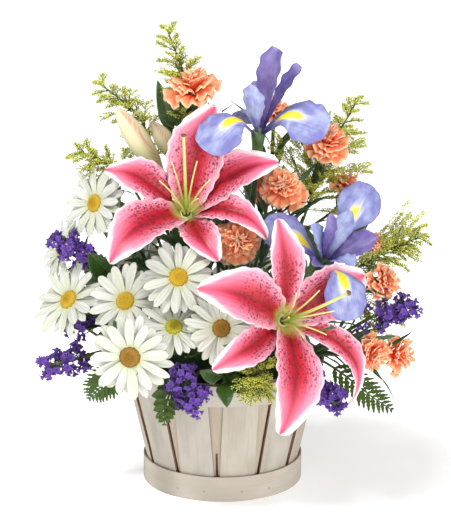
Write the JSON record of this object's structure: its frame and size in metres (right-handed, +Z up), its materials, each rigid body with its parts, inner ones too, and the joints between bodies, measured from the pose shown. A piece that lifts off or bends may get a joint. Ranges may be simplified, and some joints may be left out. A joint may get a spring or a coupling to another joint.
{
  "type": "flower basket arrangement",
  "caption": "Arrangement of lilies, irises, carnations, daisies, statice, goldenrod and leaves in wet foam, in a round lined basket of whitewashed wood strips.",
  "frame": {"origin": "middle of the basket's flat underside", "axes": "+Z up out of the basket, -Y is the arrangement's front, +X to the viewer's right"},
  "size_m": [0.3605, 0.3405, 0.4283],
  "materials": {
    "whitewashed_wood": "matt whitewash over thin veneer",
    "liner_plastic": "dull dark film",
    "wet_foam": "wet open-celled foam",
    "lily_flower": "satin petals, crimson to white",
    "lily_bud": "satin cream bud",
    "iris_flower": "satin petals with a yellow signal",
    "carnation_flower": "soft matt petals",
    "daisy_flower": "soft matt petals",
    "statice_flower": "papery and matt",
    "goldenrod_flower": "fine and matt",
    "leaf": "satin leaf"
  },
  "bodies": {
    "root": {"base_disc": "whitewashed_wood", "base_hoop": "whitewashed_wood", "carnation_back": "carnation_flower", "carnation_behind_iris": "carnation_flower", "carnation_between_lilies": "carnation_flower", "carnation_far_right": "carnation_flower", "carnation_right_low": "carnation_flower", "carnation_right_middle": "carnation_flower", "carnation_top_left": "carnation_flower", "carnation_top_right": "carnation_flower", "carnation_upper_middle": "carnation_flower", "daisy_back_left": "daisy_flower", "daisy_back_right": "daisy_flower", "daisy_behind_left": "daisy_flower", "daisy_centre": "daisy_flower", "daisy_far_left": "daisy_flower", "daisy_front": "daisy_flower", "daisy_front_green": "daisy_flower", "daisy_front_right": "daisy_flower", "daisy_left_middle": "daisy_flower", "daisy_upper_left": "daisy_flower", "fern_back": "leaf", "fern_front": "leaf", "fern_low_left": "leaf", "fern_low_right": "leaf", "goldenrod_front": "goldenrod_flower", "goldenrod_left": "goldenrod_flower", "goldenrod_right": "goldenrod_flower", "goldenrod_top": "goldenrod_flower", "goldenrod_upper_left": "goldenrod_flower", "goldenrod_upper_right": "goldenrod_flower", "inner_veneer": "whitewashed_wood", "iris_lower": "iris_flower", "iris_upper": "iris_flower", "leaves_back": "leaf", "leaves_front": "leaf", "leaves_left": "leaf", "leaves_right": "leaf", "leaves_top": "leaf", "lily_buds": "lily_bud", "lily_lower": "lily_flower", "lily_upper": "lily_flower", "liner": "liner_plastic", "rim_hoop_inner": "whitewashed_wood", "rim_hoop_outer": "whitewashed_wood", "statice_front": "statice_flower", "statice_left": "statice_flower", "statice_low_left": "statice_flower", "statice_low_right": "statice_flower", "statice_middle": "statice_flower", "statice_right": "statice_flower", "wet_foam": "wet_foam", "wood_strip_1": "whitewashed_wood", "wood_strip_2": "whitewashed_wood", "wood_strip_3": "whitewashed_wood", "wood_strip_4": "whitewashed_wood", "wood_strip_5": "whitewashed_wood", "wood_strip_6": "whitewashed_wood"}
  },
  "joints": []
}
